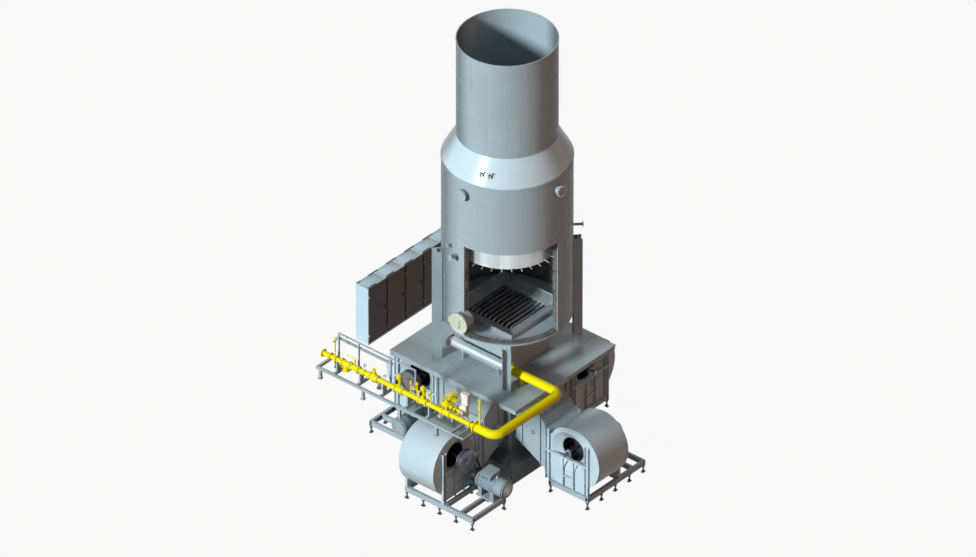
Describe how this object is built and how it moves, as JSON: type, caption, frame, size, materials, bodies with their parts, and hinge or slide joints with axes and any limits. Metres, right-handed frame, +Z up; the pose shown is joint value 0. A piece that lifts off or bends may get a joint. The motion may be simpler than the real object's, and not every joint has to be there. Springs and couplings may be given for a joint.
{
  "type": "gas combustion unit",
  "caption": "Marine gas combustion unit: belt-driven fans, air ducts and hopper under an upright round burner chamber with cut-away window, cone, stack and gas train.",
  "frame": {"origin": "chamber axis at the fan floor, in the middle of the hopper base's underside", "axes": "+Z up along the chamber axis; the gas header lies on the -X side and the gas train runs along Y beyond it; +X and +Y point away from the picture's camera"},
  "size_m": [11.2397, 12.7425, 16.56],
  "materials": {
    "steel_paint": "semi-gloss light blue-grey enamel",
    "yellow_paint": "glossy yellow gas-pipe enamel",
    "dark_steel": "dark turned steel",
    "refractory": "rough dark refractory",
    "pale_paint": "pale cream enamel",
    "liner_steel": "bright rolled plate",
    "burner_steel": "heat-dulled steel",
    "header_steel": "bright pipe",
    "motor_paint": "semi-gloss blue-grey enamel",
    "mount_rubber": "matt rubber and steel",
    "cast_block": "painted casting",
    "belt_rubber": "matt belt rubber",
    "cabinet_paint": "satin light blue-grey enamel",
    "door_paint": "satin dark brown enamel"
  },
  "bodies": {
    "root": {"exhaust_stack": "steel_paint", "transition_cone": "steel_paint", "outer_shell": "steel_paint", "chamber_lining": "refractory", "inner_liner": "liner_steel", "chamber_floor": "steel_paint", "burner_tray": "burner_steel", "gas_lances": "burner_steel", "gas_header": "header_steel", "neck_box": "steel_paint", "deck_plate": "steel_paint", "support_columns": "steel_paint", "column_brackets": "steel_paint", "manhole_neck": "steel_paint", "inspection_ports": "steel_paint", "shell_nozzles": "steel_paint", "air_hopper": "steel_paint", "air_ducts": "steel_paint", "fan_motors": "motor_paint", "fan_skids": "steel_paint", "vibration_mounts": "mount_rubber", "bearing_blocks": "cast_block", "drive_belts": "belt_rubber", "gas_main": "yellow_paint", "train_pipe": "yellow_paint", "strainer": "yellow_paint", "shutoff_valves": "yellow_paint", "control_valves": "yellow_paint", "vent_lines": "yellow_paint", "train_skid": "steel_paint", "junction_boxes": "pale_paint", "control_cabinets": "cabinet_paint", "fan_casing_1": "steel_paint", "fan_casing_2": "steel_paint", "fan_casing_3": "steel_paint", "fan_casing_4": "steel_paint"},
    "manhole_cover": {"manhole_cover": "pale_paint"},
    "handwheel_1": {"handwheel_1": "yellow_paint"},
    "handwheel_2": {"handwheel_2": "yellow_paint"},
    "isolating_lever": {"isolating_lever": "yellow_paint"},
    "damper_1": {"damper_1": "steel_paint"},
    "fan_rotor_1": {"fan_rotor_1": "dark_steel"},
    "motor_rotor_1": {"motor_rotor_1": "dark_steel"},
    "damper_2": {"damper_2": "steel_paint"},
    "fan_rotor_2": {"fan_rotor_2": "dark_steel"},
    "motor_rotor_2": {"motor_rotor_2": "dark_steel"},
    "damper_3": {"damper_3": "steel_paint"},
    "fan_rotor_3": {"fan_rotor_3": "dark_steel"},
    "motor_rotor_3": {"motor_rotor_3": "dark_steel"},
    "damper_4": {"damper_4": "steel_paint"},
    "fan_rotor_4": {"fan_rotor_4": "dark_steel"},
    "motor_rotor_4": {"motor_rotor_4": "dark_steel"},
    "cabinet_door_1": {"cabinet_door_1": "door_paint"},
    "cabinet_door_2": {"cabinet_door_2": "door_paint"},
    "cabinet_door_3": {"cabinet_door_3": "door_paint"},
    "cabinet_door_4": {"cabinet_door_4": "door_paint"},
    "cabinet_door_5": {"cabinet_door_5": "door_paint"}
  },
  "joints": [
    {"name": "fan_1_spin", "type": "hinge", "parent": "root", "child": "fan_rotor_1", "pos_m": [0, -3.34, 1.9], "axis": [1, 0, 0], "continuous": true},
    {"name": "motor_1_spin", "type": "hinge", "parent": "root", "child": "motor_rotor_1", "pos_m": [0, -2.74, 0.97], "axis": [1, 0, 0], "continuous": true},
    {"name": "damper_1_turn", "type": "hinge", "parent": "root", "child": "damper_1", "pos_m": [0, -1.75, 1.9975], "axis": [1, 0, 0], "range_deg": [0, 90]},
    {"name": "fan_2_spin", "type": "hinge", "parent": "root", "child": "fan_rotor_2", "pos_m": [-3.34, 0, 1.9], "axis": [0, -1, 0], "continuous": true},
    {"name": "motor_2_spin", "type": "hinge", "parent": "root", "child": "motor_rotor_2", "pos_m": [-2.74, 0, 0.97], "axis": [0, -1, 0], "continuous": true},
    {"name": "damper_2_turn", "type": "hinge", "parent": "root", "child": "damper_2", "pos_m": [-1.75, 0, 1.9975], "axis": [0, -1, 0], "range_deg": [0, 90]},
    {"name": "fan_3_spin", "type": "hinge", "parent": "root", "child": "fan_rotor_3", "pos_m": [0, 3.34, 1.9], "axis": [-1, 0, 0], "continuous": true},
    {"name": "motor_3_spin", "type": "hinge", "parent": "root", "child": "motor_rotor_3", "pos_m": [0, 2.74, 0.97], "axis": [-1, 0, 0], "continuous": true},
    {"name": "damper_3_turn", "type": "hinge", "parent": "root", "child": "damper_3", "pos_m": [0, 1.75, 1.9975], "axis": [-1, 0, 0], "range_deg": [0, 90]},
    {"name": "fan_4_spin", "type": "hinge", "parent": "root", "child": "fan_rotor_4", "pos_m": [3.34, 0, 1.9], "axis": [0, 1, 0], "continuous": true},
    {"name": "motor_4_spin", "type": "hinge", "parent": "root", "child": "motor_rotor_4", "pos_m": [2.74, 0, 0.97], "axis": [0, 1, 0], "continuous": true},
    {"name": "damper_4_turn", "type": "hinge", "parent": "root", "child": "damper_4", "pos_m": [1.75, 0, 1.9975], "axis": [0, 1, 0], "range_deg": [0, 90]},
    {"name": "manhole_swing", "type": "hinge", "parent": "root", "child": "manhole_cover", "pos_m": [-2.4703, 0.415, 6.47], "axis": [0, 0, -1], "range_deg": [0, 110]},
    {"name": "handwheel_1_turn", "type": "hinge", "parent": "root", "child": "handwheel_1", "pos_m": [-4.54, -1.25, 5.18], "axis": [0, 0, 1], "continuous": true},
    {"name": "handwheel_2_turn", "type": "hinge", "parent": "root", "child": "handwheel_2", "pos_m": [-4.21, -1.25, 5.18], "axis": [0, 0, 1], "continuous": true},
    {"name": "isolating_lever_turn", "type": "hinge", "parent": "root", "child": "isolating_lever", "pos_m": [-4.54, 2.72, 4.85], "axis": [0, 0, 1], "range_deg": [0, 90]},
    {"name": "door_1_swing", "type": "hinge", "parent": "root", "child": "cabinet_door_1", "pos_m": [1.722, 7.515, 1], "axis": [0, 0, -1], "range_deg": [0, 110]},
    {"name": "door_2_swing", "type": "hinge", "parent": "root", "child": "cabinet_door_2", "pos_m": [2.652, 7.515, 1], "axis": [0, 0, -1], "range_deg": [0, 110]},
    {"name": "door_3_swing", "type": "hinge", "parent": "root", "child": "cabinet_door_3", "pos_m": [3.582, 7.515, 1], "axis": [0, 0, -1], "range_deg": [0, 110]},
    {"name": "door_4_swing", "type": "hinge", "parent": "root", "child": "cabinet_door_4", "pos_m": [4.512, 7.515, 1], "axis": [0, 0, -1], "range_deg": [0, 110]},
    {"name": "door_5_swing", "type": "hinge", "parent": "root", "child": "cabinet_door_5", "pos_m": [5.442, 7.515, 1], "axis": [0, 0, -1], "range_deg": [0, 110]}
  ],
  "couplings": [
    {"joint": "motor_1_spin", "follows": "fan_1_spin", "ratio": 1.6383},
    {"joint": "motor_2_spin", "follows": "fan_2_spin", "ratio": 1.6383},
    {"joint": "motor_3_spin", "follows": "fan_3_spin", "ratio": 1.6383},
    {"joint": "motor_4_spin", "follows": "fan_4_spin", "ratio": 1.6383}
  ]
}
